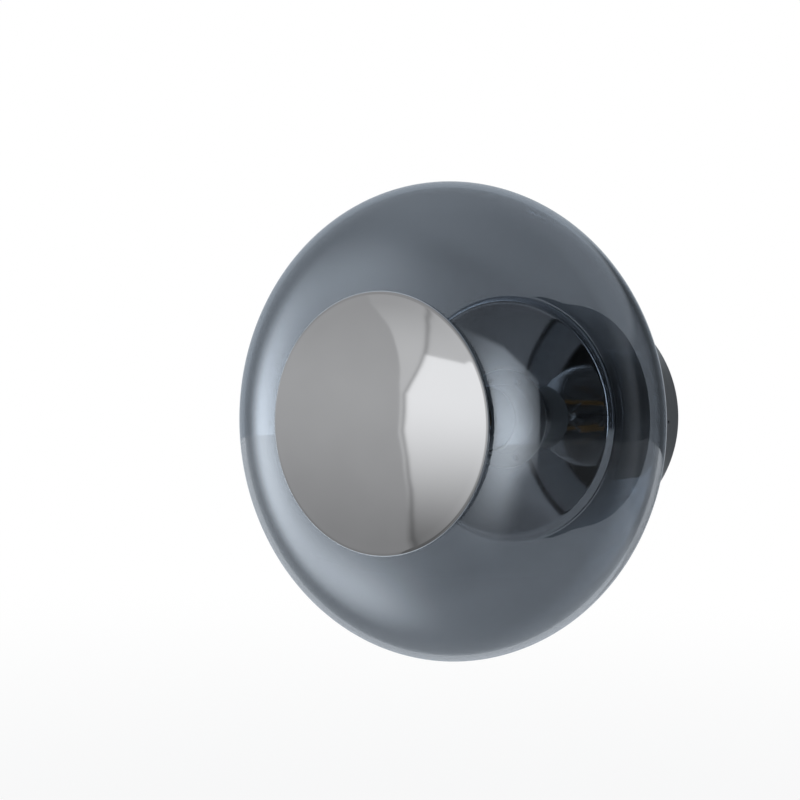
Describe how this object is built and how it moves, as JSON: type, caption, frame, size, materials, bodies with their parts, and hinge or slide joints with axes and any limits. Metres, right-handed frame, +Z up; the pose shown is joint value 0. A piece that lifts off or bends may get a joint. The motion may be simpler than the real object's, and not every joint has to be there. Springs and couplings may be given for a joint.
{
  "type": "globe wall sconce",
  "caption": "Wall light with a smoky glass globe clamped on a metal drum, a mirror plate behind a filament bulb and a polished disc over the globe's front opening.",
  "frame": {"origin": "middle of the wall screws' line on the back face of the wall bracket, on the lamp's axis", "axes": "the wall is the plane Y = 0, -Y points out of the wall along the lamp's axis, +Z is up"},
  "size_m": [0.29, 0.2353, 0.29],
  "materials": {
    "smoked_glass": "clear, smoky blue-grey",
    "clear_glass": "clear",
    "polished_chrome": "mirror polished",
    "satin_steel": "satin",
    "zinc_steel": "zinc plated",
    "screw_steel": "dark oxide",
    "brass": "satin",
    "white_ceramic": "glazed white",
    "white_plastic": "moulded",
    "dark_plastic": "moulded",
    "black_insulator": "glassy black",
    "silicone": "translucent white",
    "adhesive": "clear",
    "cap_nickel": "satin nickel",
    "filament": "amber coating",
    "lead_brown": "insulation",
    "lead_blue": "insulation",
    "lead_earth": "green and yellow insulation"
  },
  "bodies": {
    "lamp": {"wall_bracket": "zinc_steel", "cable_grommet": "dark_plastic", "terminal_block": "white_plastic", "terminal_inserts": "brass", "terminal_screws": "zinc_steel", "block_screws": "zinc_steel", "earth_screws": "brass", "earth_washers": "zinc_steel", "earth_tags": "zinc_steel", "live_lead": "lead_brown", "neutral_lead": "lead_blue", "earth_lead": "lead_earth", "drum_sleeve": "satin_steel", "drum_screws": "screw_steel", "bridge": "zinc_steel", "bridge_screws": "screw_steel", "threaded_tube": "zinc_steel", "tube_nuts": "zinc_steel", "mirror_plate": "polished_chrome", "rear_seal": "silicone", "front_seal": "silicone", "glass_shade": "smoked_glass", "lampholder_cover": "polished_chrome", "cover_screws": "zinc_steel", "lampholder_base": "white_ceramic", "contact_carrier": "white_ceramic", "centre_contact": "brass", "screw_shell": "brass", "lampholder_skirt": "white_ceramic", "keeper_ring": "zinc_steel", "ring_bond": "adhesive"},
    "bulb_tip": {"bulb_contact": "cap_nickel"},
    "bulb": {"bulb_insulator": "black_insulator", "bulb_cap": "cap_nickel", "bulb_stem": "clear_glass", "bulb_leads": "zinc_steel", "bulb_filaments": "filament", "bulb_glass": "clear_glass"},
    "disc": {"front_disc": "polished_chrome", "magnet_carrier": "dark_plastic", "disc_magnets": "cap_nickel", "disc_cushion": "silicone"}
  },
  "joints": [
    {"name": "disc_pull", "type": "slide", "parent": "lamp", "child": "disc", "axis": [0, -1, 0], "range_m": [0, 0.025]},
    {"name": "bulb_advance", "type": "slide", "parent": "lamp", "child": "bulb_tip", "axis": [0, -1, 0], "range_m": [0, 0.0144]},
    {"name": "bulb_turn", "type": "hinge", "parent": "bulb_tip", "child": "bulb", "pos_m": [0, -0.15, 0], "axis": [0, -1, 0], "range_deg": [0, 1441]}
  ],
  "couplings": [
    {"joint": "bulb_turn", "follows": "bulb_advance", "rad_per_m": 1745.3}
  ]
}
